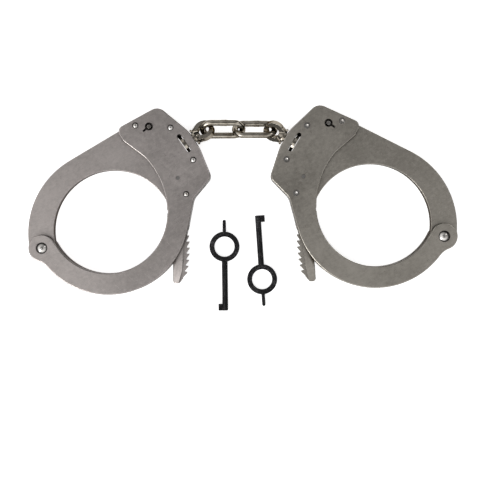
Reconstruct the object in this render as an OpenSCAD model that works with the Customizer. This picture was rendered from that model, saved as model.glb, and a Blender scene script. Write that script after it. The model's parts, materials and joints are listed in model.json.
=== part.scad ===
// A pair of chain handcuffs with their two keys, lying flat on a table.
// The origin is on the table under the middle of the pair.

/* [Cuff plates] */
// thickness of each cheek plate
plate_t = 2.4; // [1.5:0.1:3.5]
// free gap between the two cheek plates
gap = 5.0; // [4:0.1:7]
// radius of the plate eye around the hinge rivet
eye_r = 6.1; // [5:0.1:8]
// radius of the wrist opening
wrist_r = 27.4; // [24:0.1:32]
// outer radius of the double strand
strand_r = 36.7; // [33:0.1:42]
// width of the wall between the plates of the lock case
wall_w = 2.4; // [1.5:0.1:3]

/* [Bow] */
// thickness of the single strand
bow_t = 4.4; // [3:0.1:6]
// radius of the tooth crests about the hinge rivet
crest_r = 67.0; // [60:0.1:75]
// radius of the tooth roots
root_r = 65.6; // [58:0.1:73]
// number of teeth
tooth_n = 21; // [12:1:24]
// angle from one tooth to the next
tooth_pitch = 2.4; // [1.8:0.1:4]
// angle of the crest next to the tip
first_crest = -9.4; // [-20:0.1:0]
// thickness of the toothed strip
strip_t = 3.2; // [2:0.1:4.4]

/* [Rivets and pins] */
// radius of the hinge rivet shank
hinge_r = 2.1; // [1.5:0.05:3]
// radius of the hinge rivet heads
hinge_head_r = 2.6; // [2.2:0.05:4]
// height of the hinge rivet heads above the plates
hinge_dome = 0.8; // [0.3:0.1:1.5]
// radius of the case rivet shanks
rivet_r = 1.0; // [0.7:0.05:1.5]
// radius of the case rivet heads
rivet_head_r = 1.4; // [1.1:0.05:2]
// height of the case rivet heads above the plate
rivet_dome = 0.45; // [0.2:0.05:1]
// radius of the pin that the pawl turns on
pawl_pin_r = 0.9; // [0.6:0.05:1.5]
// radius of the post in the keyhole
post_r = 0.9; // [0.6:0.05:1.2]
// radius of the foot of the post, set in the back plate
post_base_r = 1.4; // [1.0:0.05:2]
// radius of the round part of the keyhole
keyhole_r = 1.85; // [1.6:0.05:2.5]

/* [Pawl] */
// angle that the pawl turns from the teeth to clear of them
pawl_lift = 10.5; // [5:0.5:15]

/* [Chain] */
// radius of the link wire
wire_r = 1.4; // [1:0.05:2]
// radius of the centre line of a link end
link_r = 3.95; // [3:0.05:5]
// half of the straight length of a link
link_half = 5.15; // [3:0.05:8]
// outer radius of the swivel eye
ring_r = 4.85; // [4:0.1:6]
// radius of the hole in the swivel eye
ring_hole_r = 2.75; // [2:0.05:3.5]
// thickness of the swivel eye
ring_t = 2.6; // [2:0.1:4]
// roll of the left swivel eye about its stem
roll_left = -28; // [-60:1:60]
// roll of the right swivel eye about its stem
roll_right = 40; // [-60:1:60]

/* [Keys] */
// outer radius of the key barrel
barrel_r = 1.35; // [1.2:0.05:2]
// radius of the bore that fits over the post
barrel_bore_r = 1.0; // [0.9:0.05:1.3]
// outer radius of the key ring
key_ring_r = 6.95; // [5:0.05:9]
// radius of the hole in the key ring
key_hole_r = 4.65; // [3:0.05:6]
// length of the key from the ring centre to the end of the barrel
key_len = 29.6; // [24:0.1:40]
// radius of the pin on the key ring
key_pin_r = 0.8; // [0.5:0.05:1]

/* [Hidden] */
$fn = 96;

plate_z = gap / 2;
face_z = gap / 2 + plate_t;
mid_z = face_z + hinge_dome;
slack = 0.02;
run = 0.05;
head_recess = 0.2;
tail_recess = 0.3;

steel = [0.70, 0.68, 0.66];
bright = [0.80, 0.79, 0.77];
dark = [0.10, 0.10, 0.10];

// where the two hinge rivets stand on the table
left_at = [-91.39, -18.03];
right_at = [91.81, -12.63];
right_turn = 4.2;

// middles of the two links, with their heights above the middle of the cuffs
link_left_at = [-9.19, 36.57, 0.2];
link_right_at = [5.61, 36.57, -0.5];

// centres of the two key rings
key_left_at = [-8.44, -17.33];
key_right_at = [9.01, -32.43];

// centres of the main arcs, measured from the hinge rivet
wrist_c = [29.7, 15.9];
strand_c = [30.3, 15.4];
cheek_c = [19.9, 15.6];
cheek_r = wrist_r + norm(wrist_c - cheek_c);
bow_c = [31.7, 6.85];
bow_r = 38.45;
bow_in_c = [32.6, 8.05];
bow_in_r = 27.5;

// corners of the lock case with their radii; a radius below zero rounds an inside corner
case_pts = [[66.5, 8.5], [69.2, 22.8], [77.3, 32.4], [71.7, 46.1], [66.9, 53.2], [53.0, 64.6],
    [34.9, 54.7]];
case_radii = [0, -7, 3.6, 16, 14, 5, 2.6];
cheek_pts = [[35.2, 51.6], [37.2, 48.4], [40, 38], [57.3, 17], [57, 10]];
cheek_radii = [1.4, 0.8, 0, 0, 0];

case_rivet_at = [[42.6, 55.8], [58.6, 54.8], [69.0, 40.2], [65.8, 24.6]];
pawl_at = [61.9, 31.9];
post_at = [48.8, 55.3];
slot_at = [64.75, 47.7];
swivel_dir = 35;
dimple_at = [40.8, 49.3];
flange_r = 4.7;
flange_t = 1.4;
eye_out = 10.8;

// outline of the thin tip of the bow, and its corner radii
tip_pts = [[59.5, 6], [59.5, -16.2], [62.4, -16.2], [67.2, -9.6], [67.4, 6]];
tip_radii = [0, 1.3, 1.2, 1.2, 0];

// the bends of the leaf spring, from its fixed end
spring_path = [[59.4, 54.2], [60.6, 51.5], [61.3, 49.2], [61.6, 46.0], [61.6, 43.0],
    [61.3, 42.0], [60.8, 41.5], [60.2, 41.7], [59.6, 42.6], [58.6, 45.0], [57.6, 47.6]];

// the straight edge of the case that holds the double lock slot
edge_from = case_pts[1];
edge_to = case_pts[2];
edge_dir = atan2(edge_to[1] - edge_from[1], edge_to[0] - edge_from[0]);

function unit(v) = v / norm(v);
function turned(a, r) = [r * cos(a), r * sin(a)];
function toward(pts, i, step) = unit(pts[(i + step + len(pts)) % len(pts)] - pts[i]);
function half_angle(pts, i) = acos(toward(pts, i, 1) * toward(pts, i, -1)) / 2;
function bisector(pts, i) = unit(toward(pts, i, 1) + toward(pts, i, -1));
function arc_centre(pts, radii, i) =
    pts[i] + bisector(pts, i) * abs(radii[i]) / sin(half_angle(pts, i));
function arc_ends(pts, radii, i) = radii[i] == 0 ? [pts[i]] :
    [pts[i] + toward(pts, i, -1) * abs(radii[i]) / tan(half_angle(pts, i)),
     pts[i] + toward(pts, i, 1) * abs(radii[i]) / tan(half_angle(pts, i))];
function inset(pts, radii, d) = [for (i = [0:len(pts) - 1])
    pts[i] + bisector(pts, i) * (radii[i] < 0 ? -d : d) / sin(half_angle(pts, i))];
function inset_radii(radii, d) = [for (r = radii) r == 0 ? 0 : r < 0 ? r - d : max(r - d, 0.2)];

// centre of the blend between the hinge eye and the outside of the strand
blend_r = 9;
blend_d1 = eye_r + blend_r - 0.003;
blend_d2 = strand_r + blend_r - 0.003;
blend_a = (blend_d1 * blend_d1 - blend_d2 * blend_d2 + strand_c * strand_c)
    / (2 * norm(strand_c));
blend_h = sqrt(blend_d1 * blend_d1 - blend_a * blend_a);
blend_u = unit(strand_c);
blend_at = blend_u * blend_a + [blend_u[1], -blend_u[0]] * blend_h;

// a closed outline with true arcs at its corners; each arc laps the straight lines by a hair
module rounded(pts, radii) {
    difference() {
        union() {
            polygon([for (i = [0:len(pts) - 1]) each arc_ends(pts, radii, i)]);
            for (i = [0:len(pts) - 1]) {
                if (radii[i] > 0) {
                    intersection() {
                        translate(arc_centre(pts, radii, i)) circle(radii[i] + 0.002);
                        polygon([arc_centre(pts, radii, i), arc_ends(pts, radii, i)[0], pts[i],
                            arc_ends(pts, radii, i)[1]]);
                    }
                }
            }
        }
        for (i = [0:len(pts) - 1]) {
            if (radii[i] < 0) {
                translate(arc_centre(pts, radii, i)) circle(0.002 - radii[i]);
            }
        }
    }
}

module layer(z, h) {
    translate([0, 0, z]) linear_extrude(h) children();
}

// a flat cut in the shape of a capsule
module capsule(length, width) {
    square([length - width, width], center = true);
    translate([(length - width) / 2, 0]) circle(width / 2);
    translate([(width - length) / 2, 0]) circle(width / 2);
}

module strand_outline() {
    intersection() {
        translate(strand_c) circle(strand_r, $fn = 180);
        polygon([strand_c, [0, 0], [-12, -6], [-12, -40], [80, -40], [80, 16]]);
    }
    difference() {
        polygon([[0, 0], blend_at, strand_c]);
        translate(blend_at) circle(blend_r);
    }
    circle(eye_r);
}

module plate_outline() {
    difference() {
        union() {
            strand_outline();
            rounded(concat(case_pts, cheek_pts), concat(case_radii, cheek_radii));
        }
        translate(wrist_c) circle(wrist_r, $fn = 180);
        intersection() {
            translate(cheek_c) circle(cheek_r, $fn = 180);
            polygon([wrist_c, wrist_c + (wrist_c - cheek_c) * 3, [62, 30], [37.15, 48.6],
                [20, 60]]);
        }
    }
}

module swivel_slot() {
    translate(slot_at) rotate(swivel_dir + 90) capsule(9.6, 2.0);
}

module keyhole() {
    circle(keyhole_r);
    rotate(-140) translate([0, -0.45]) square([3.5, 0.9]);
}

// a plate with the holes that both plates share; the counterbores are on its upper face
module plate_blank(head_r, head_deep) {
    difference() {
        layer(0, plate_t) plate_outline();
        translate([0, 0, -1]) cylinder(r = hinge_r + slack, h = plate_t + 2);
        translate([0, 0, plate_t - 0.3]) cylinder(r = hinge_head_r + 0.1, h = 1);
        for (p = case_rivet_at) {
            translate([p[0], p[1], -1]) cylinder(r = rivet_r + slack, h = plate_t + 2);
            translate([p[0], p[1], plate_t - head_deep]) cylinder(r = head_r + 0.1, h = 1);
        }
        translate([pawl_at[0], pawl_at[1], -1]) cylinder(r = pawl_pin_r, h = plate_t + 2);
        layer(-1, plate_t + 2) swivel_slot();
    }
}

// the plate with the keyhole, on the side of the cuff that faces up
module front_plate(head_deep) {
    color(steel) translate([0, 0, plate_z]) difference() {
        plate_blank(rivet_head_r, head_deep);
        translate([post_at[0], post_at[1], 0]) layer(-1, plate_t + 2) keyhole();
        translate([dimple_at[0], dimple_at[1], plate_t - 0.15]) difference() {
            cylinder(r = 1.15, h = 1);
            translate([0, 0, -1]) cylinder(r = 0.75, h = 3);
        }
    }
}

// the plate on the table side, which carries the post
module back_plate(head_deep) {
    color(steel) rotate([180, 0, 0]) mirror([0, 1, 0]) translate([0, 0, plate_z]) difference() {
        plate_blank(rivet_head_r, head_deep);
        translate([post_at[0], post_at[1], -1]) cylinder(r = post_base_r, h = plate_t + 2);
    }
}

// bosses round the case rivets, joined to the wall
module rivet_bosses() {
    for (i = [0:3]) {
        translate(case_rivet_at[i]) circle(i == 3 ? 2.2 : 2.6);
    }
    translate(case_rivet_at[0] + [-0.2, 0.2]) rotate(28) square([4.4, 3], center = true);
    translate(case_rivet_at[1] + [1, 1.4]) rotate(-40) square([5, 5], center = true);
    translate(case_rivet_at[2] + [2, 0.8]) rotate(-65) square([5, 4.2], center = true);
    translate(case_rivet_at[3] + [0.6, -1.4]) square([4, 3.4], center = true);
}

module case_wall() {
    difference() {
        intersection() {
            rounded(case_pts, case_radii);
            union() {
                difference() {
                    square(200, center = true);
                    rounded(inset(case_pts, case_radii, wall_w),
                        inset_radii(case_radii, wall_w));
                }
                rivet_bosses();
            }
        }
        circle(crest_r + 0.7, $fn = 180);
        translate([50, 0]) square([30, 42], center = true);
    }
}

module swivel_gap() {
    translate(slot_at) rotate(swivel_dir) translate([-3, -2.6]) square([30, 5.2]);
}

module upper_spacer() {
    color(steel) difference() {
        layer(-plate_z, gap) intersection() {
            difference() {
                case_wall();
                swivel_gap();
                spring_strip();
            }
            translate(slot_at) rotate(swivel_dir) translate([-60, 0]) square([90, 40]);
        }
        for (i = [0:1]) {
            translate(concat(case_rivet_at[i], [-5])) cylinder(r = rivet_r + slack, h = 10);
        }
    }
}

// things placed along the slotted edge of the case
module at_edge() {
    translate([edge_from[0], edge_from[1], 0]) rotate([0, 0, edge_dir]) children();
}

module lower_spacer() {
    color(steel) difference() {
        layer(-plate_z, gap) intersection() {
            difference() {
                case_wall();
                swivel_gap();
            }
            translate(slot_at) rotate(swivel_dir) translate([-60, -60]) square([90, 60]);
        }
        for (i = [2:3]) {
            translate(concat(case_rivet_at[i], [-5])) cylinder(r = rivet_r + slack, h = 10);
        }
        at_edge() translate([1.6, -2, -1.3]) cube([6.4, 6, 2.6]);
    }
}

// the bar that a key pin slides along the edge to hold the pawl down
module double_lock_bar() {
    color(bright) at_edge() {
        translate([1.9, wall_w + 0.3, -bow_t / 2]) cube([3.2, 1.8, bow_t]);
        translate([1.9, 0.35, -1.0]) cube([2.9, wall_w, 2.0]);
    }
}

// the outline of one tooth, from the foot of its ramp to the foot of its steep face
function tooth(a, grow) = [turned(a - tooth_pitch + 0.12 + grow, root_r + grow),
    turned(a - 0.32 - grow, crest_r + grow), turned(a + grow, crest_r + grow),
    turned(a + 0.06 + grow, root_r + grow)];

module toothed_disc(grow) {
    circle(root_r + grow - 0.05, $fn = 180);
    polygon(concat([[20, 5]], [for (i = [0:tooth_n - 1])
        each tooth(first_crest + i * tooth_pitch, grow)]));
}

module bow_outline() {
    intersection() {
        difference() {
            union() {
                difference() {
                    translate(bow_c) circle(bow_r, $fn = 180);
                    polygon([[-40, 0], [33, 0], [33, 5], [90, 5], [90, -60], [-40, -60]]);
                }
                polygon([bow_c, [72, 5], [72, 56], bow_c + turned(120.8, bow_r)
                    + turned(30.8, 34), bow_c + turned(120.8, bow_r)]);
                rounded(tip_pts, tip_radii);
                circle(eye_r);
            }
            difference() {
                translate(bow_in_c) circle(bow_in_r, $fn = 180);
                polygon([[59.5, 8.5], [59.5, -20], [70, -20], [70, 8.5]]);
            }
        }
        toothed_disc(0);
    }
}

// a sector about the hinge rivet, used to cut the step beside the teeth
module strip_zone() {
    difference() {
        polygon([[0, 0], turned(-20, 90), turned(10, 95), turned(41, 95)]);
        circle(crest_r - 2.5, $fn = 180);
    }
}

// the flat left where the inner side of the tip is ground thinner
module grind() {
    translate([64.3, -17, bow_t / 2]) rotate([0.9, -13, -1.5]) translate([-12, -6, 0])
        cube([12, 24, 6]);
}

module bow() {
    color(steel) difference() {
        layer(-bow_t / 2, bow_t) bow_outline();
        translate([0, 0, -5]) cylinder(r = hinge_r + run, h = 10);
        layer(strip_t / 2, 3) strip_zone();
        layer(-strip_t / 2 - 3, 3) strip_zone();
        grind();
        mirror([0, 0, 1]) grind();
    }
}

module dome(r, h) {
    ball = (r * r + h * h) / (2 * h);
    intersection() {
        translate([0, 0, h - ball]) sphere(ball);
        cylinder(r = r, h = h);
    }
}

module hinge_rivet() {
    color(bright) {
        translate([0, 0, 0.3 - face_z]) cylinder(r = hinge_r, h = 2 * face_z - 0.6);
        for (side = [0, 1]) {
            mirror([0, 0, side]) translate([0, 0, face_z - 0.3]) {
                dome(hinge_head_r, hinge_dome + 0.3);
            }
        }
    }
}

// a rivet with a domed head above and a set tail below
module case_rivet() {
    translate([0, 0, 0.3 - face_z]) cylinder(r = rivet_r, h = 2 * face_z - 0.5);
    translate([0, 0, face_z - 0.2]) dome(rivet_head_r, rivet_dome + 0.2);
    translate([0, 0, -face_z + 0.02]) difference() {
        cylinder(r = rivet_head_r, h = 0.28);
        translate([0, 0, -0.05]) cylinder(r1 = 0.75, r2 = 0.3, h = 0.25);
    }
}

// heads_up is 1 for domed heads on the keyhole side and 0 for tails there
module case_rivets(heads_up) {
    color(bright) for (p = case_rivet_at) {
        translate([p[0], p[1], 0]) mirror([0, 0, 1 - heads_up]) case_rivet();
    }
}

module pawl_outline() {
    difference() {
        union() {
            intersection() {
                difference() {
                    circle(70.3, $fn = 180);
                    circle(67.35, $fn = 180);
                }
                polygon([[0, 0], turned(26.5, 95), turned(46.4, 95)]);
            }
            intersection() {
                difference() {
                    circle(69, $fn = 180);
                    circle(root_r + 0.15, $fn = 180);
                }
                polygon([[0, 0], turned(35.3, 95), turned(42.9, 95)]);
            }
            polygon([turned(45.4, 69), turned(46.1, 72.8), turned(46.9, 72.6), turned(46.4, 68)]);
        }
        toothed_disc(0.13);
    }
    translate(pawl_at) circle(1.95);
    translate(pawl_at) rotate(8 + pawl_lift) translate([0, -0.9]) square([8.2, 1.8]);
}

// the pawl, held just clear of the bow teeth
module pawl() {
    color(bright) translate([pawl_at[0], pawl_at[1], -bow_t / 2]) rotate([0, 0, -pawl_lift])
        difference() {
            linear_extrude(bow_t) translate(-pawl_at) pawl_outline();
            translate([0, 0, -1]) cylinder(r = pawl_pin_r + run, h = bow_t + 2);
        }
}

module pawl_pin() {
    color(bright) translate([pawl_at[0], pawl_at[1], 0.35 - face_z]) {
        cylinder(r = pawl_pin_r, h = 2 * face_z - 0.7);
    }
}

// the direction across the spring strip at one of its bends, long enough to keep its width
function across(path, i) =
    let (before = unit(path[max(i, 1)] - path[max(i, 1) - 1]),
        after = unit(path[min(i + 1, len(path) - 1)] - path[min(i, len(path) - 2)]),
        along = unit(before + after))
    [-along[1], along[0]] / (along * before);

module spring_strip() {
    last = len(spring_path) - 1;
    polygon(concat(
        [for (i = [0:last]) spring_path[i] - across(spring_path, i) * 0.2],
        [for (i = [last:-1:0]) spring_path[i] + across(spring_path, i) * 0.2]));
}

// the leaf spring that presses the pawl onto the teeth
module pawl_spring() {
    color(bright) difference() {
        layer(-2.0, 4.0) spring_strip();
        translate(concat(case_rivet_at[1], [-5])) cylinder(r = rivet_r + slack, h = 10);
    }
}

// the post that the key barrel slides over
module key_post() {
    color(bright) translate([post_at[0], post_at[1], 0]) {
        translate([0, 0, -face_z]) cylinder(r = post_base_r, h = plate_t);
        translate([0, 0, -plate_z]) cylinder(r = post_r, h = gap + plate_t - 0.3);
    }
}

// flange, stem, collar and eye in one piece; the stem lies along X from the flange
module swivel_shape() {
    rotate([0, 90, 0]) {
        translate([0, 0, -flange_t / 2]) cylinder(r = flange_r, h = flange_t);
        cylinder(r = 2.2, h = 8);
        translate([0, 0, 5.2]) cylinder(r = 3.9, h = 1.0);
        translate([0, 0, 6.0]) cylinder(r1 = 3.3, r2 = 2.2, h = 2.4);
    }
    difference() {
        union() {
            translate([eye_out, 0, -ring_t / 2]) cylinder(r = ring_r, h = ring_t);
            layer(-ring_t / 2, ring_t) {
                polygon([[6.0, -3.2], [eye_out - 1.6, -4.4], [eye_out - 1.6, 4.4], [6.0, 3.2]]);
            }
        }
        translate([eye_out, 0, -3]) cylinder(r = ring_hole_r, h = 6);
    }
}

module swivel(roll) {
    color(bright) translate([slot_at[0], slot_at[1], 0]) rotate([0, 0, swivel_dir])
        rotate([roll, 0, 0]) swivel_shape();
}

// one end of a link, about the middle of its arc
module link_end() {
    rotate([0, 0, -90]) rotate_extrude(angle = 180) {
        translate([link_r, 0]) circle(wire_r, $fn = 48);
    }
}

module link(roll) {
    color(bright) rotate([roll, 0, 0]) {
        for (s = [-1, 1]) {
            translate([-link_half, s * link_r, 0]) rotate([0, 90, 0]) {
                cylinder(r = wire_r, h = 2 * link_half);
            }
            rotate([0, 0, s * 90 - 90]) translate([link_half, 0, 0]) link_end();
        }
    }
}

module chain_link_left() {
    translate(link_left_at + [0, 0, mid_z]) link(50);
}

module chain_link_right() {
    translate(link_right_at + [0, 0, mid_z]) link(-42);
}

module left_cuff() {
    translate([left_at[0], left_at[1], mid_z]) children();
}

// the right cuff is assembled from the same stampings turned over
module right_cuff() {
    translate([right_at[0], right_at[1], mid_z]) rotate([0, 0, right_turn])
        mirror([1, 0, 0]) children();
}

// keys lie with the barrel along -Y from the ring
module key_barrel() {
    color(dark) difference() {
        union() {
            translate([0, -key_len, barrel_r]) rotate([-90, 0, 0]) {
                cylinder(r = barrel_r, h = key_len - key_ring_r + 1);
            }
            translate([-3.1, -key_len, barrel_r - 0.75]) cube([3, 3.1, 1.5]);
        }
        translate([0, -key_len - 1, barrel_r]) rotate([-90, 0, 0]) {
            cylinder(r = barrel_bore_r, h = 9);
        }
        translate([0, 0, -1]) cylinder(r = key_ring_r, h = 5);
    }
}

module key_ring() {
    color(dark) {
        difference() {
            translate([0, 0, 0.25]) cylinder(r = key_ring_r, h = 2.2);
            translate([0, 0, -1]) cylinder(r = key_hole_r, h = 5);
        }
        difference() {
            translate([0, 0, barrel_r]) {
                rotate([-90, 0, 0]) cylinder(r = key_pin_r, h = 11.7);
                translate([0, 11.7, 0]) sphere(key_pin_r, $fn = 48);
            }
            translate([0, 0, -1]) cylinder(r = key_ring_r - 0.6, h = 5);
        }
    }
}

module left_key() {
    translate([key_left_at[0], key_left_at[1], 0]) rotate([0, 0, 0.7]) children();
}

module right_key() {
    translate([key_right_at[0], key_right_at[1], 0]) rotate([0, 0, 183.9]) children();
}

left_cuff() front_plate(head_recess);  // front_plate_left
left_cuff() back_plate(tail_recess);  // back_plate_left
left_cuff() upper_spacer();  // upper_spacer_left
left_cuff() lower_spacer();  // lower_spacer_left
left_cuff() bow();  // bow_left
left_cuff() hinge_rivet();  // hinge_rivet_left
left_cuff() case_rivets(1);  // case_rivets_left
left_cuff() pawl();  // pawl_left
left_cuff() pawl_pin();  // pawl_pin_left
left_cuff() pawl_spring();  // pawl_spring_left
left_cuff() double_lock_bar();  // double_lock_bar_left
left_cuff() key_post();  // key_post_left
left_cuff() swivel(roll_left);  // swivel_left
right_cuff() front_plate(tail_recess);  // front_plate_right
right_cuff() back_plate(head_recess);  // back_plate_right
right_cuff() upper_spacer();  // upper_spacer_right
right_cuff() lower_spacer();  // lower_spacer_right
right_cuff() bow();  // bow_right
right_cuff() hinge_rivet();  // hinge_rivet_right
right_cuff() case_rivets(0);  // case_rivets_right
right_cuff() pawl();  // pawl_right
right_cuff() pawl_pin();  // pawl_pin_right
right_cuff() pawl_spring();  // pawl_spring_right
right_cuff() double_lock_bar();  // double_lock_bar_right
right_cuff() key_post();  // key_post_right
right_cuff() swivel(roll_right);  // swivel_right
chain_link_left();
chain_link_right();
left_key() key_barrel();  // key_barrel_left
left_key() key_ring();  // key_ring_left
right_key() key_barrel();  // key_barrel_right
right_key() key_ring();  // key_ring_right
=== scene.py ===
import json
import math

import bpy
from mathutils import Matrix, Vector

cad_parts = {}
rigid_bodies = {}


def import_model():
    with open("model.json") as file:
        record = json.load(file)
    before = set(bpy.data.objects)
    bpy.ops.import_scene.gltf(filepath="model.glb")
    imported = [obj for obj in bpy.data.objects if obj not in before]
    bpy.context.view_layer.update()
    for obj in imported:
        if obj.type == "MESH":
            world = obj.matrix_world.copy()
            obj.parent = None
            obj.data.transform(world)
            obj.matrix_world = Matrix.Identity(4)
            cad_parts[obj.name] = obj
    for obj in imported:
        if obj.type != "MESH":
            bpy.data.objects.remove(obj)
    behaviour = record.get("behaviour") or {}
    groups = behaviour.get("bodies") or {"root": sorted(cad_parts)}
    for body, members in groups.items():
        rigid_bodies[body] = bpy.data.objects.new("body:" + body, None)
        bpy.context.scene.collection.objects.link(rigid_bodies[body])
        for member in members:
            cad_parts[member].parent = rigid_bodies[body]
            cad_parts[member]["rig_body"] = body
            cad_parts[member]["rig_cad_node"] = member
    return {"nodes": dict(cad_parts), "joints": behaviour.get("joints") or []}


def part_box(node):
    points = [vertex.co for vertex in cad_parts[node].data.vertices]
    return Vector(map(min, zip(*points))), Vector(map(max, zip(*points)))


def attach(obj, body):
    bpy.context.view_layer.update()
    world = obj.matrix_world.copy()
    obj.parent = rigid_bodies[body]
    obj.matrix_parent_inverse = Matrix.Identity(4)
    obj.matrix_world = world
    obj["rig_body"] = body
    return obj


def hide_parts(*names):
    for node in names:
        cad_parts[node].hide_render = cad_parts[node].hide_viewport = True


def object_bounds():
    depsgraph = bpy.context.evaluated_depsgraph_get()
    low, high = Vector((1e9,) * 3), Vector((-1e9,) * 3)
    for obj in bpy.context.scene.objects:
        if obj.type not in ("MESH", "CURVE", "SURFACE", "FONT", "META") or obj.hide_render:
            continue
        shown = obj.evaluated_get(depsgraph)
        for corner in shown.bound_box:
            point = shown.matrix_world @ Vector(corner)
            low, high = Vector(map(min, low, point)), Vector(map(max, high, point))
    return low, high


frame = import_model()
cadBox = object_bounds()
mm = 0.001


def focus(piece):
    bpy.ops.object.select_all(action="DESELECT")
    piece.select_set(True)
    bpy.context.view_layer.objects.active = piece


def objectMode():
    bpy.ops.object.mode_set(mode="OBJECT")


def applyAll(piece):
    focus(piece)
    for modifier in list(piece.modifiers):
        bpy.ops.object.modifier_apply(modifier=modifier.name)


def copyOfNode(nodeName, pieceName):
    source = frame["nodes"][nodeName]
    piece = source.copy()
    piece.data = source.data.copy()
    piece.name = pieceName
    piece.data.name = pieceName
    piece.parent = None
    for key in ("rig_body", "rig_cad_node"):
        del piece[key]
    bpy.context.scene.collection.objects.link(piece)
    focus(piece)
    bpy.ops.object.mode_set(mode="EDIT")
    bpy.ops.mesh.select_all(action="SELECT")
    bpy.ops.mesh.remove_doubles(threshold=2e-6)
    bpy.ops.mesh.dissolve_limited(angle_limit=math.radians(0.6))
    objectMode()
    if "custom_normal" in piece.data.attributes:
        piece.data.attributes.remove(piece.data.attributes["custom_normal"])
    return piece


def faceAngles(piece):
    # edge index -> angle between its two faces
    sides = {}
    for face in piece.data.polygons:
        for key in face.edge_keys:
            sides.setdefault(key, []).append(face.normal)
    angles = {}
    for edge in piece.data.edges:
        pair = sides.get(edge.key, [])
        angles[edge.index] = pair[0].angle(pair[1], 0) if len(pair) == 2 else 0
    return angles


def sharpEdges(piece, degrees=28):
    return [i for i, angle in faceAngles(piece).items() if angle > math.radians(degrees)]


def loopsOf(piece, wanted):
    # joins the wanted edges into chains that share a vertex
    mesh = piece.data
    around = {}
    for index in wanted:
        for vertex in mesh.edges[index].vertices:
            around.setdefault(vertex, []).append(index)
    left, chains = set(wanted), []
    while left:
        chain, front = set(), [left.pop()]
        while front:
            index = front.pop()
            chain.add(index)
            for vertex in mesh.edges[index].vertices:
                for other in around[vertex]:
                    if other in left:
                        left.discard(other)
                        front.append(other)
        chains.append(chain)
    return chains


def roundEdges(piece, weightOf, width, segments=3, clamp=True):
    # weightOf gives each sharp edge its share of the full width
    mesh = piece.data
    weights = mesh.attributes.new("bevel_weight_edge", "FLOAT", "EDGE")
    for edge in mesh.edges:
        weights.data[edge.index].value = weightOf.get(edge.index, 0.0)
    rounding = piece.modifiers.new("rounding", "BEVEL")
    rounding.limit_method = "WEIGHT"
    rounding.width = width
    rounding.segments = segments
    rounding.profile = 0.5
    rounding.use_clamp_overlap = clamp
    rounding.miter_outer = "MITER_SHARP"
    rounding.loop_slide = False
    applyAll(piece)


def smoothShade(piece, degrees=38):
    focus(piece)
    bpy.ops.object.shade_smooth_by_angle(angle=math.radians(degrees))
    weighted = piece.modifiers.new("weighted", "WEIGHTED_NORMAL")
    weighted.keep_sharp = True
    weighted.weight = 60
    applyAll(piece)


def dress(piece, finish, body, slotName, *nodes):
    piece.data.materials.clear()
    piece.data.materials.append(finish)
    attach(piece, body)
    if nodes:
        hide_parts(*nodes)


class Signal:
    def __init__(self, tree, socket):
        self.tree, self.socket = tree, socket

    def maths(self, operation, other=None, flip=False):
        node = self.tree.nodes.new("ShaderNodeMath")
        node.operation = operation
        terms = [self] if other is None else [self, other]
        if flip:
            terms.reverse()
        for socket, term in zip(node.inputs, terms):
            if isinstance(term, Signal):
                self.tree.links.new(term.socket, socket)
            else:
                socket.default_value = term
        return Signal(self.tree, node.outputs[0])

    def __add__(self, other):
        return self.maths("ADD", other)

    def __sub__(self, other):
        return self.maths("SUBTRACT", other)

    def __rsub__(self, other):
        return self.maths("SUBTRACT", other, flip=True)

    def __mul__(self, other):
        return self.maths("MULTIPLY", other)

    __radd__ = __add__
    __rmul__ = __mul__


class Finish:
    def __init__(self, name):
        self.material = bpy.data.materials.new(name)
        self.material.use_nodes = True
        self.tree = self.material.node_tree
        self.tree.nodes.clear()
        self.shader = self.tree.nodes.new("ShaderNodeBsdfPrincipled")
        output = self.tree.nodes.new("ShaderNodeOutputMaterial")
        self.tree.links.new(self.shader.outputs[0], output.inputs["Surface"])
        self.place = self.add("ShaderNodeTexCoord", output="Object")

    def add(self, kind, settings=None, values=None, output=0):
        node = self.tree.nodes.new(kind)
        for key, value in (settings or {}).items():
            setattr(node, key, value)
        for key, value in (values or {}).items():
            if isinstance(value, Signal):
                self.tree.links.new(value.socket, node.inputs[key])
            else:
                node.inputs[key].default_value = value
        return Signal(self.tree, node.outputs[output])

    def noise(self, scale, detail=2.0, rough=0.5, place=None):
        return self.add("ShaderNodeTexNoise", None, {
            "Vector": place or self.place, "Scale": scale, "Detail": detail, "Roughness": rough})

    def stretched(self, angle, stretch, offset=0.0):
        # the same place, turned in the plane and drawn out along one direction
        return self.add("ShaderNodeMapping", {"vector_type": "TEXTURE"}, {
            "Vector": self.place, "Rotation": (0, 0, angle), "Location": (offset, offset, 0),
            "Scale": (1, 1 / stretch, 1)})

    def band(self, signal, low, high):
        return self.add("ShaderNodeMapRange", {"clamp": True, "interpolation_type": "SMOOTHSTEP"}, {
            "Value": signal, "From Min": low, "From Max": high})

    def upright(self):
        # 1 on faces that lie flat, 0 on the sides
        normal = self.add("ShaderNodeTexCoord", output="Normal")
        return self.add("ShaderNodeSeparateXYZ", None, {"Vector": normal}, "Z").maths("ABSOLUTE")

    def blend(self, amount, first, second):
        pair = [colour if isinstance(colour, Signal) else (*colour, 1) for colour in (first, second)]
        return self.add("ShaderNodeMix", {"data_type": "RGBA"}, {0: amount, 6: pair[0], 7: pair[1]}, 2)

    def fixed(self, **values):
        for key, value in values.items():
            self.shader.inputs[key.replace("_", " ")].default_value = value

    def feed(self, name, signal):
        self.tree.links.new(signal.socket, self.shader.inputs[name])

    def relief(self, height, distance, strength=1.0):
        bump = self.add("ShaderNodeBump", None, {
            "Height": height, "Distance": distance, "Strength": strength})
        self.feed("Normal", bump)


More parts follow.
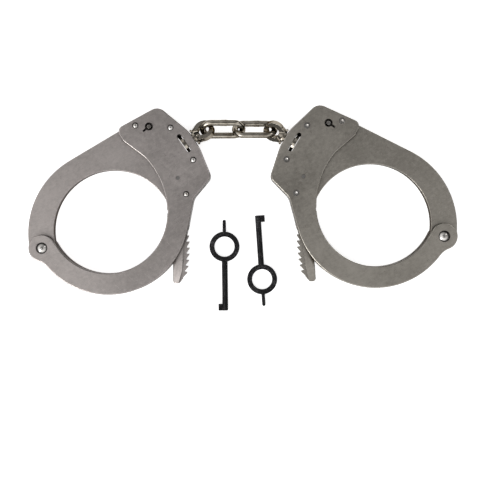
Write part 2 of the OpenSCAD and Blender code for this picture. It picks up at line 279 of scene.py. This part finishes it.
satinValues = {
    "cloudScale": 28, "mottleScale": 620, "grainScale": 5200, "drawnScale": 420, "spotScale": 420,
    "scratches": (  # noise scale, direction, length, offset, threshold
        (210, 0.9, 26, 0.0, 0.72), (170, -0.7, 30, 0.3, 0.73), (260, 2.3, 22, 0.7, 0.73)),
    # paintedShadeTone: how dark the painted shade on the side faces is, as a share of the deep colour
    "scratchLight": 1.35, "paintedShadeTone": 0.3, "grainDepth": 0.000012, "edgeTint": (0.22, 0.21, 0.20, 1),
}


def satinNickel(name, pale, deep, stain, stainAmount, rough):
    v = satinValues
    f = Finish(name)
    upright = f.upright()
    rim = 1.0 - f.band(upright, 0.93, 0.995)      # rounded edges, rubbed smooth
    paintedShadeMask = 1.0 - f.band(upright, 0.22, 0.80)     # the cut edges and other sides, where the base colour is darkened as painted shade
    broad = f.noise(v["cloudScale"], 2.0, 0.55)
    mottle = f.noise(v["mottleScale"], 6.0, 0.72)
    grain = f.noise(v["grainScale"], 2.0, 0.7)
    drawn = f.noise(v["drawnScale"], 3.0, 0.6, f.stretched(0.5, 7))
    scratches = sum(f.band(f.noise(scale, 1.0, 0.4, f.stretched(angle, length, offset)), low, low + 0.03)
                    for scale, angle, length, offset, low in v["scratches"]).maths("MINIMUM", 1.0)
    mix = (broad + mottle + grain - 1.5) * 0.9 + (drawn - 0.5) * 0.5 + 0.5
    colour = f.blend(f.band(mix, 0.1, 0.9), deep, pale)
    patches = f.band(f.noise(22, 1.0, 0.5, f.stretched(0, 1, 0.21)), 0.50, 0.62)
    spots = f.band(f.noise(v["spotScale"], 4.0, 0.6), 0.60, 0.74) * patches
    colour = f.blend(spots * stainAmount, colour, stain)
    colour = f.blend(scratches * 0.35, colour, [min(1.0, part * v["scratchLight"]) for part in pale])
    # painted shade: the base colour turns darker on faces that turn to the side
    colour = f.blend(paintedShadeMask * 0.85, colour, [part * v["paintedShadeTone"] for part in deep])
    f.feed("Base Color", colour)
    uneven = (mottle - 0.5) * 0.16 + (broad - 0.5) * 0.12
    f.feed("Roughness", rough + uneven - scratches * 0.08 + spots * 0.1 - rim * 0.16)
    f.fixed(Metallic=1.0, Specular_Tint=v["edgeTint"])
    f.relief(grain * 0.6 + mottle * 0.35 + drawn * 0.25 - scratches * 0.35, v["grainDepth"], 0.8)
    return f.material


brightValues = {"filmScale": 240, "grainScale": 3600, "depth": 0.00006, "edgeTint": (0.20, 0.18, 0.15, 1)}


# paintedShadeFactor sets how dark the painted shade on the side faces is
def brightNickel(name, tint, stain, rough, paintedShadeFactor=0.3):
    v = brightValues
    f = Finish(name)
    # painted shade: faces that turn to the side get a darker base colour
    paintedShadeMask = 1.0 - f.band(f.upright(), 0.15, 0.85)
    cloud = f.noise(v["filmScale"], 3.0, 0.55)
    fine = f.noise(v["grainScale"], 2.0, 0.6)
    film = f.band(cloud + (fine - 0.5) * 0.25, 0.42, 0.72)
    colour = f.blend(film * 0.75, tint, stain)
    f.feed("Base Color", f.blend(paintedShadeMask * 0.8, colour, [part * paintedShadeFactor for part in stain]))
    f.feed("Roughness", rough + (cloud - 0.5) * 0.14 + (fine - 0.5) * 0.06)
    f.fixed(Metallic=1.0, Specular_Tint=v["edgeTint"])
    f.relief(cloud * 0.8 + fine * 0.12, v["depth"], 0.55)
    return f.material


oxideValues = {
    "gritScale": 2300, "cloudScale": 180, "fineScale": 9000, "depth": 0.00005,
    "black": (0.014, 0.014, 0.015), "worn": (0.15, 0.147, 0.15), "edgeTint": (0.4, 0.4, 0.4, 1),
}


def blackOxide(name, granular, rough):
    v = oxideValues
    f = Finish(name)
    grit = f.noise(v["gritScale"], 3.0, 0.65)
    cloud = f.noise(v["cloudScale"], 2.0, 0.5)
    fine = f.noise(v["fineScale"], 1.0, 0.5)
    worn = f.band(grit + (cloud - 0.5) * 0.4, 0.50, 0.80)
    f.feed("Base Color", f.blend(worn, v["black"], v["worn"]))
    f.feed("Roughness", rough + granular * 0.12 + (grit - 0.5) * 0.2)
    f.fixed(Metallic=0.75, Specular_Tint=v["edgeTint"])
    f.relief(grit * granular + fine * 0.15, v["depth"], 0.7)
    return f.material


print("finishes")
finishes = {
    "left": satinNickel(
        "satinNickelLeft", (0.53, 0.485, 0.465), (0.36, 0.33, 0.315), (0.26, 0.235, 0.22), 0.25, 0.36),
    # the right cuff's nickel has a darker base than the left's: partly painted shade, a shaded copy of the
    # same metal, and partly its heavier staining
    "right": satinNickel(
        "satinNickelRight", (0.455, 0.425, 0.38), (0.29, 0.268, 0.235), (0.20, 0.175, 0.14), 0.6, 0.35),
    "bright": brightNickel("brightNickel", (0.55, 0.53, 0.51), (0.32, 0.29, 0.26), 0.15),
    # the chain's last value, 0.3, is the darkness of its painted shade on the sides
    "chain": brightNickel("chainNickel", (0.42, 0.385, 0.33), (0.16, 0.13, 0.095), 0.12, 0.3),
    "spring": brightNickel("springSteel", (0.36, 0.35, 0.34), (0.24, 0.22, 0.20), 0.3),
    "ring": blackOxide("blackOxideRing", 1.0, 0.34),
    "barrel": blackOxide("blackOxideBarrel", 0.3, 0.20),
}


jointAt = {joint["name"]: joint.get("pos_m") for joint in frame["joints"]}
hingeAt = {side: Vector(jointAt[f"bow_{side}_turn"]) for side in ("left", "right")}
cuffTurn = {"left": 0.0, "right": math.radians(4.2)}


def local(side, point):
    # millimetres in the cuff's own plan, from its hinge rivet
    away = (Vector(point) - hingeAt[side]) / mm
    if side == "left":
        return away
    away = Matrix.Rotation(-cuffTurn[side], 3, "Z") @ away
    return Vector((-away.x, away.y, away.z))


def keepInside(piece, limit):
    common = piece.modifiers.new("common", "BOOLEAN")
    common.operation, common.solver, common.object = "INTERSECT", "MANIFOLD", limit
    applyAll(piece)
    bpy.data.objects.remove(limit)


plateValues = {
    "width": 0.5, "inside": 0.24, "segments": 5, "outside": 4.9, "thick": 2.4, "hair": 0.01, "near": 0.02,
}


def plate(side, face):
    v = plateValues
    piece = copyOfNode(f"{face}_plate_{side}", f"{face}Plate{side.title()}")
    # a slab with the plate's outline and rounded edges, no holes; the plate keeps only what lies inside it
    slab = copyOfNode(f"{face}_plate_{side}", "slab")
    mesh = slab.data
    way = 1 if face == "front" else -1
    places = [local(side, vertex.co) for vertex in mesh.vertices]
    ends = {edge.index: [places[k] for k in edge.vertices] for edge in mesh.edges}
    skin = [i for i in sharpEdges(slab)
            if all(abs(end.z - way * v["outside"]) < v["near"] for end in ends[i])]
    outline = max(loopsOf(slab, skin), key=lambda chain: sum((ends[i][0] - ends[i][1]).length for i in chain))
    for part in (mesh.polygons, mesh.edges, mesh.vertices):
        for item in part:
            item.select = False
    for i in outline:
        mesh.edges[i].select = True
        for k in mesh.edges[i].vertices:
            mesh.vertices[k].select = True
    focus(slab)
    bpy.ops.object.mode_set(mode="EDIT")
    bpy.ops.mesh.select_mode(type="EDGE")
    bpy.ops.mesh.select_all(action="INVERT")
    bpy.ops.mesh.delete(type="EDGE")
    bpy.ops.mesh.select_all(action="SELECT")
    bpy.ops.mesh.edge_face_add()
    bpy.ops.mesh.extrude_region_move(TRANSFORM_OT_translate={"value": (0, 0, -way * v["thick"] * mm)})
    bpy.ops.mesh.select_all(action="SELECT")
    bpy.ops.mesh.normals_make_consistent(inside=False)
    # a hair inside the plate all round, so that no faces of the two coincide
    bpy.ops.transform.shrink_fatten(value=-v["hair"] * mm, use_even_offset=True)
    objectMode()
    levels = [vertex.co.z for vertex in mesh.vertices]
    middle = (min(levels) + max(levels)) / 2
    reach = (v["thick"] / 2 - v["hair"]) * mm
    for vertex in mesh.vertices:  # both flats exactly level
        vertex.co.z = middle + reach if vertex.co.z > middle else middle - reach

    weights = {}
    for edge in mesh.edges:
        ends = [local(side, mesh.vertices[k].co) for k in edge.vertices]
        if abs(ends[0].z - ends[1].z) < v["near"]:
            weights[edge.index] = 1.0 if abs(ends[0].z) > v["outside"] - v["thick"] / 2 else v["inside"]
    roundEdges(slab, weights, v["width"] * mm, v["segments"], clamp=False)

    keepInside(piece, slab)
    smoothShade(piece)
    dress(piece, finishes[side], f"cuff_{side}", "satin_nickel", f"{face}_plate_{side}")
    return piece


bowValues = {"width": 0.32, "teeth": 0.3, "segments": 4, "toothRoot": 63.9, "lastTooth": 42}


def bow(side):
    v = bowValues
    piece = copyOfNode(f"bow_{side}", f"bow{side.title()}")
    places = [local(side, vertex.co) for vertex in piece.data.vertices]
    weights = {}
    for i in sharpEdges(piece):
        middle = sum((places[k] for k in piece.data.edges[i].vertices), Vector()) / 2
        onTeeth = middle.xy.length > v["toothRoot"] and middle.y < v["lastTooth"]
        weights[i] = v["teeth"] if onTeeth else 1.0
    roundEdges(piece, weights, v["width"] * mm, v["segments"], clamp=False)
    keepInside(piece, copyOfNode(f"bow_{side}", "limit"))
    smoothShade(piece)
    dress(piece, finishes[side], f"bow_{side}", "satin_nickel", f"bow_{side}")
    return piece


def plainCopy(node, name, finish, body, slotName, width, sharpAngle=28, segments=2):
    piece = copyOfNode(node, name)
    roundEdges(piece, {i: 1.0 for i in sharpEdges(piece, sharpAngle)}, width * mm, segments)
    smoothShade(piece)
    dress(piece, finishes[finish], body, slotName, node)
    return piece


print("cuffs")
for side in ("left", "right"):
    cuff, label = f"cuff_{side}", side.title()
    plate(side, "front")
    plate(side, "back")
    plainCopy(f"upper_spacer_{side}", f"upperSpacer{label}", side, cuff, "satin_nickel", 0.12)
    plainCopy(f"lower_spacer_{side}", f"lowerSpacer{label}", side, cuff, "satin_nickel", 0.12)
    bow(side)
    plainCopy(f"hinge_rivet_{side}", f"hingeRivet{label}", "bright", cuff, "bright_nickel", 0.05, 50)
    plainCopy(f"case_rivets_{side}", f"caseRivets{label}", "bright", cuff, "bright_nickel", 0.04, 50)
    plainCopy(f"pawl_{side}", f"pawl{label}", "spring", f"pawl_{side}", "spring_steel", 0.1)
    plainCopy(f"pawl_pin_{side}", f"pawlPin{label}", "spring", cuff, "bright_nickel", 0.08)
    plainCopy(f"pawl_spring_{side}", f"pawlSpring{label}", "spring", cuff, "spring_steel", 0.04)
    plainCopy(f"double_lock_bar_{side}", f"doubleLockBar{label}", "bright",
              f"double_lock_{side}", "spring_steel", 0.12)
    plainCopy(f"key_post_{side}", f"keyPost{label}", "bright", cuff, "bright_nickel", 0.15)
    plainCopy(f"swivel_{side}", f"swivel{label}", "chain", f"swivel_{side}", "bright_nickel", 0.55, 35, 3)


linkValues = {
    "wire": 1.4, "bend": 3.95, "half": 5.15, "sides": 28, "runSteps": 14, "bendSteps": 20,
    "weld": (1.0, 1.03, 1.08, 1.05, 1.10, 1.04, 1.0), "weldAt": 5,
}


def link(name, place, roll, body, node):
    v = linkValues
    bpy.ops.object.select_all(action="DESELECT")
    bpy.ops.mesh.primitive_circle_add(vertices=v["sides"], radius=v["wire"] * mm,
                                      location=(-v["half"] * mm, v["bend"] * mm, 0),
                                      rotation=(0, math.pi / 2, 0))
    piece = bpy.context.object
    piece.name = name
    bpy.ops.object.transform_apply(location=True, rotation=True, scale=True)
    bpy.ops.object.mode_set(mode="EDIT")
    bpy.ops.mesh.select_all(action="SELECT")
    step = 2 * v["half"] / v["runSteps"] * mm
    for direction in (1, -1):
        for k in range(v["runSteps"]):
            bpy.ops.mesh.extrude_region_move(TRANSFORM_OT_translate={"value": (direction * step, 0, 0)})
        bpy.ops.mesh.spin(steps=v["bendSteps"], angle=math.pi, center=(direction * v["half"] * mm, 0, 0),
                          axis=(0, 0, 1))
    bpy.ops.mesh.select_all(action="SELECT")
    bpy.ops.mesh.remove_doubles(threshold=1e-6)
    bpy.ops.mesh.normals_make_consistent(inside=False)
    # the weld, a lumpy swelling on the upper run
    bpy.ops.mesh.select_all(action="DESELECT")
    objectMode()
    for k, factor in enumerate(v["weld"]):
        along = (-v["half"] * mm) + (v["weldAt"] + k) * step
        for vertex in piece.data.vertices:
            if abs(vertex.co.x - along) < 1e-6 and vertex.co.y > 0:
                vertex.co.y = v["bend"] * mm + (vertex.co.y - v["bend"] * mm) * factor
                vertex.co.z *= factor
    piece.rotation_euler = (roll, 0, 0)
    piece.location = place
    bpy.ops.object.transform_apply(location=True, rotation=True, scale=True)
    focus(piece)
    bpy.ops.object.shade_smooth()
    dress(piece, finishes["chain"], body, "bright_nickel", node)
    return piece


def middleOf(node):
    low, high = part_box(node)
    return (low + high) / 2


print("chain")
link("chainLinkLeft", middleOf("chain_link_left"), math.radians(50), "link_left", "chain_link_left")
link("chainLinkRight", middleOf("chain_link_right"), math.radians(-42), "link_right", "chain_link_right")


print("keys")
for side in ("left", "right"):
    label, key = side.title(), f"key_{side}"
    plainCopy(f"key_ring_{side}", f"keyRing{label}", "ring", key, "black_oxide", 0.35, 35, 3)
    plainCopy(f"key_barrel_{side}", f"keyBarrel{label}", "barrel", key, "black_oxide", 0.16, 35, 2)


stageValues = {
    "floorSize": 6.0, "floorGlow": 0.70,
    "cameraAt": (0.00338, -0.01889), "cameraHeight": 0.4606, "lens": 71.28,
}


def floorFinish():
    f = Finish("paleFloor")
    f.fixed(Base_Color=(0.95, 0.95, 0.95, 1), Roughness=0.9,
            Emission_Color=(1, 1, 1, 1), Emission_Strength=stageValues["floorGlow"])
    return f.material


bpy.ops.object.select_all(action="DESELECT")
bpy.ops.mesh.primitive_plane_add(size=stageValues["floorSize"], location=(0, 0, cadBox[0].z))
floor = bpy.context.object
floor.name = "floor"
floor.data.materials.append(floorFinish())

scene = bpy.context.scene
scene.view_settings.view_transform = "Standard"
world = bpy.data.worlds.new("studio")
scene.world = world
world.use_nodes = True
tree = world.node_tree
tree.nodes.clear()
background = tree.nodes.new("ShaderNodeBackground")
out = tree.nodes.new("ShaderNodeOutputWorld")
tree.links.new(background.outputs[0], out.inputs[0])
spot = tree.nodes.new("ShaderNodeTexCoord")
split = tree.nodes.new("ShaderNodeSeparateXYZ")
tree.links.new(spot.outputs["Generated"], split.inputs[0])
dirX, dirY, dirZ = (Signal(tree, split.outputs[k]) for k in range(3))
skyValues = {
    # how bright the studio is by height: dark low down, a bright ring, dark again overhead
    "heights": [(0.0, 0.05), (0.38, 0.09), (0.55, 0.85), (0.83, 1.15), (0.94, 0.42), (1.0, 0.15)],
    "lean": (-0.60, -0.74),
}
ramp = tree.nodes.new("ShaderNodeValToRGB")
while len(ramp.color_ramp.elements) < len(skyValues["heights"]):
    ramp.color_ramp.elements.new(0.5)
for element, (height, shade) in zip(ramp.color_ramp.elements, skyValues["heights"]):
    element.position = height
    element.color = (shade, shade, shade, 1)
tree.links.new(dirZ.socket, ramp.inputs[0])
tree.links.new(ramp.outputs[0], background.inputs["Color"])
glow = dirX * skyValues["lean"][0] + dirY * skyValues["lean"][1] + 1.0
tree.links.new(glow.socket, background.inputs["Strength"])

lightValues = {
    "key": {"at": (-0.50, -0.50, 0.55), "size": 0.35, "power": 2.2},
    "strip": {"at": (0.5, 0.35, 0.6), "size": 0.2, "power": 0.3},
    "leftWash": {"at": (-0.30, -0.20, 1.2), "size": 0.32, "power": 0.26},
    "rightWash": {"at": (0.42, 0.02, 1.2), "size": 0.4, "power": 0.20},
}
for name, v in lightValues.items():
    data = bpy.data.lights.new(name, "AREA")
    data.size, data.energy = v["size"], v["power"]
    lamp = bpy.data.objects.new(name, data)
    lamp.location = v["at"]
    lamp.rotation_mode = "QUATERNION"
    lamp.rotation_quaternion = (-Vector(v["at"])).to_track_quat("-Z", "Y")
    scene.collection.objects.link(lamp)

cameraData = bpy.data.cameras.new("camera")
cameraData.lens = stageValues["lens"]
cameraData.clip_start, cameraData.clip_end = 0.05, 20
camera = bpy.data.objects.new("camera", cameraData)
camera.location = (*stageValues["cameraAt"], stageValues["cameraHeight"])
scene.collection.objects.link(camera)
scene.camera = camera

print("done")
